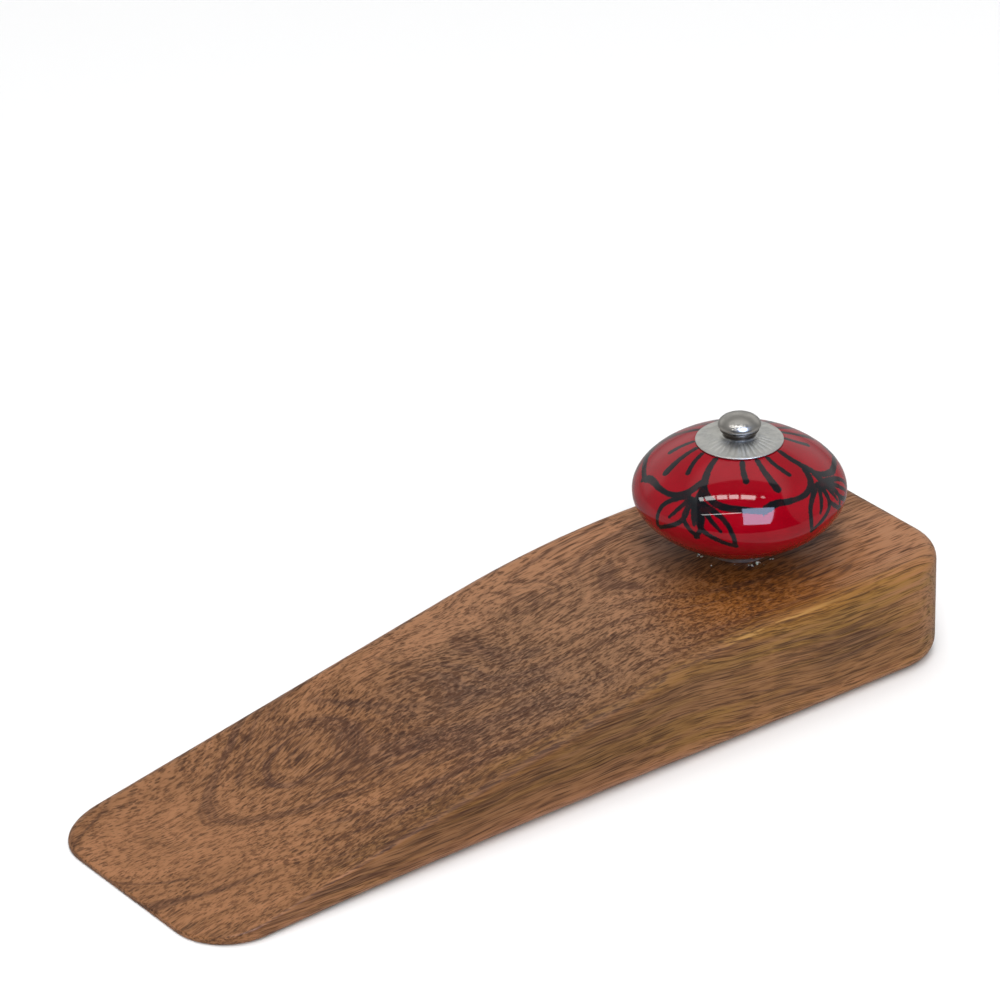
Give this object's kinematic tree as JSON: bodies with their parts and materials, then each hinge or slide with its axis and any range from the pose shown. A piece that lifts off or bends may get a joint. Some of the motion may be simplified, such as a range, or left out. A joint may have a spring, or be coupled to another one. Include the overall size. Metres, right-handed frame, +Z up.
{
  "type": "door wedge",
  "caption": "Wooden door wedge with a ramp, a level heel and a glazed ceramic lifting knob bolted through it.",
  "frame": {"origin": "centre of the base, on the floor", "axes": "+X from the thin toe to the thick heel, +Y across the wedge, +Z up through the knob"},
  "size_m": [0.178, 0.056, 0.0523],
  "materials": {
    "oiled_wood": "satin oil on open-grained brown hardwood",
    "red_glaze": "gloss red glaze with painted black line flowers",
    "satin_nickel": "satin nickel plate",
    "polished_nickel": "polished nickel plate",
    "zinc_plated_steel": "bright zinc plate"
  },
  "bodies": {
    "root": {"wedge_block": "oiled_wood", "base_plate": "zinc_plated_steel", "knob_body": "red_glaze", "fluted_cap": "satin_nickel", "knob_bolt": "polished_nickel", "plain_washer": "zinc_plated_steel", "lock_washer": "zinc_plated_steel", "hex_nut": "zinc_plated_steel"}
  },
  "joints": []
}
